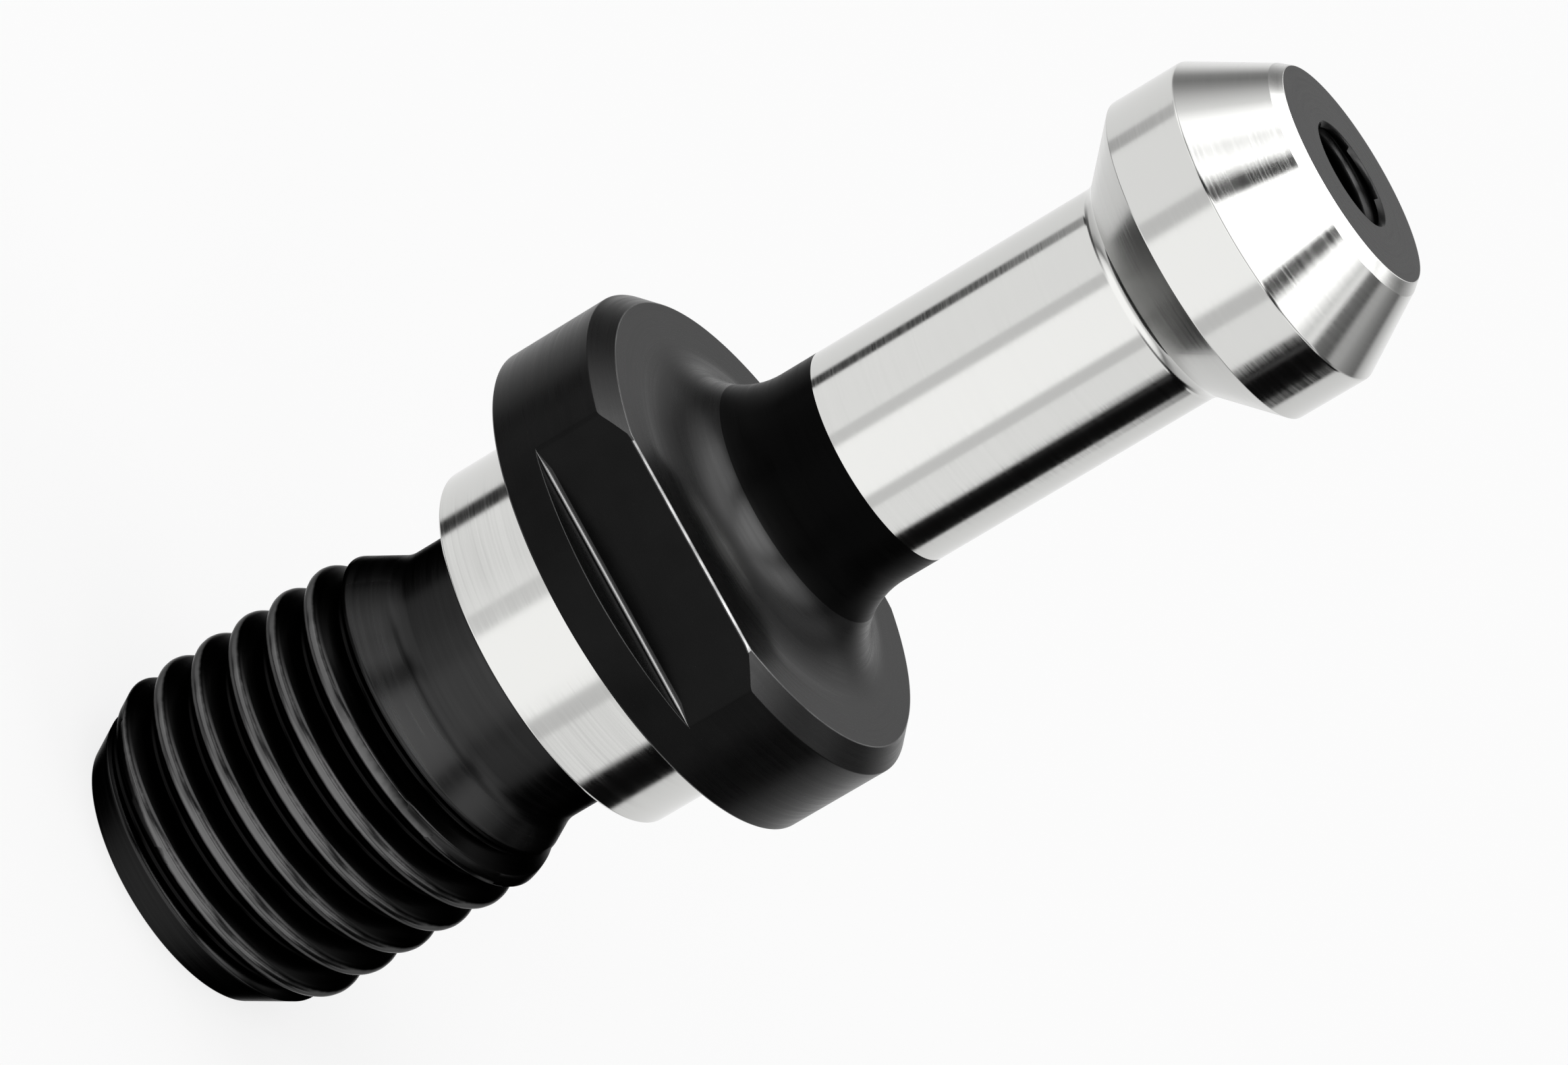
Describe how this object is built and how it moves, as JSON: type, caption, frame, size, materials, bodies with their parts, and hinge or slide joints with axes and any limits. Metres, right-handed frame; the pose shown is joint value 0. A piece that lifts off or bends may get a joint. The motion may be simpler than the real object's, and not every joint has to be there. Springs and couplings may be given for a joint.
{
  "type": "pull stud",
  "caption": "Threaded pull stud with a ground pilot, a flange with wrench flats, a slim neck, a conical gripping head and a coolant hole right through.",
  "frame": {"origin": "centre of the flange's seating face, on the stud's axis", "axes": "+Z along the axis towards the gripping head; the two wrench flats face -Y and +Y"},
  "size_m": [0.023, 0.023, 0.06],
  "materials": {
    "stud_steel": "hardened steel, ground bright on pilot, neck and head, black oxide on thread, flange and end face"
  },
  "bodies": {
    "root": {"pull_stud": "stud_steel"}
  },
  "joints": []
}
